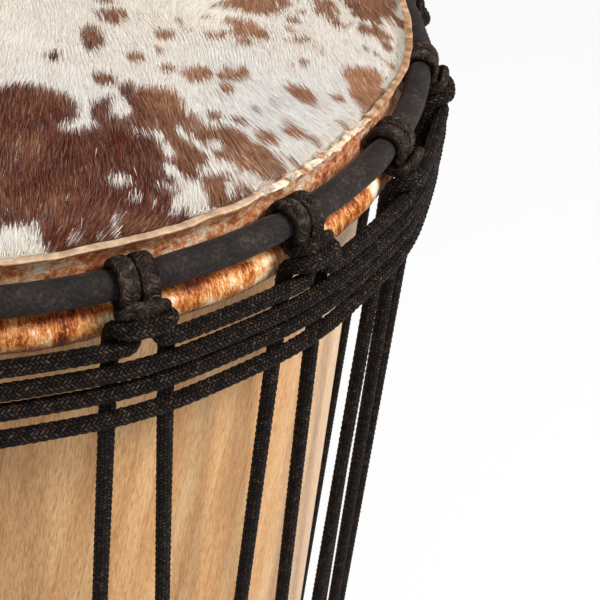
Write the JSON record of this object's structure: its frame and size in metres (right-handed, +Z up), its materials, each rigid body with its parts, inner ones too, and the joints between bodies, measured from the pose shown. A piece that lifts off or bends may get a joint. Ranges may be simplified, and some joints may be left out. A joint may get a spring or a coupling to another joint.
{
  "type": "dunun",
  "caption": "Rope-tuned West African drum: open wooden shell, a hair-on hide at each end, cloth-covered hoops, zigzag lacing and spare rope wound round it.",
  "frame": {"origin": "centre of the base, on the drum's axis, where the lower hide's collar stands on the floor", "axes": "+Z up along the drum's axis; +X and +Y square to it"},
  "size_m": [0.355, 0.3578, 0.528],
  "materials": {
    "wood": "pale close-grained hardwood, turned and oiled",
    "hide": "hair-on cowhide, cream with red-brown spots",
    "steel": "plain round bar, welded into a hoop",
    "cloth": "matte black cotton strip",
    "rope": "black braided polyester"
  },
  "bodies": {
    "root": {"shell": "wood", "top_head": "hide", "bottom_head": "hide", "top_flesh_ring": "steel", "bottom_flesh_ring": "steel", "top_crown_ring": "steel", "bottom_crown_ring": "steel", "top_crown_sleeve": "cloth", "bottom_crown_sleeve": "cloth", "top_loop_rope": "rope", "bottom_loop_rope": "rope", "top_loop_knot": "rope", "bottom_loop_knot": "rope", "tension_rope": "rope", "tension_rope_knot": "rope", "spare_rope": "rope"}
  },
  "joints": []
}
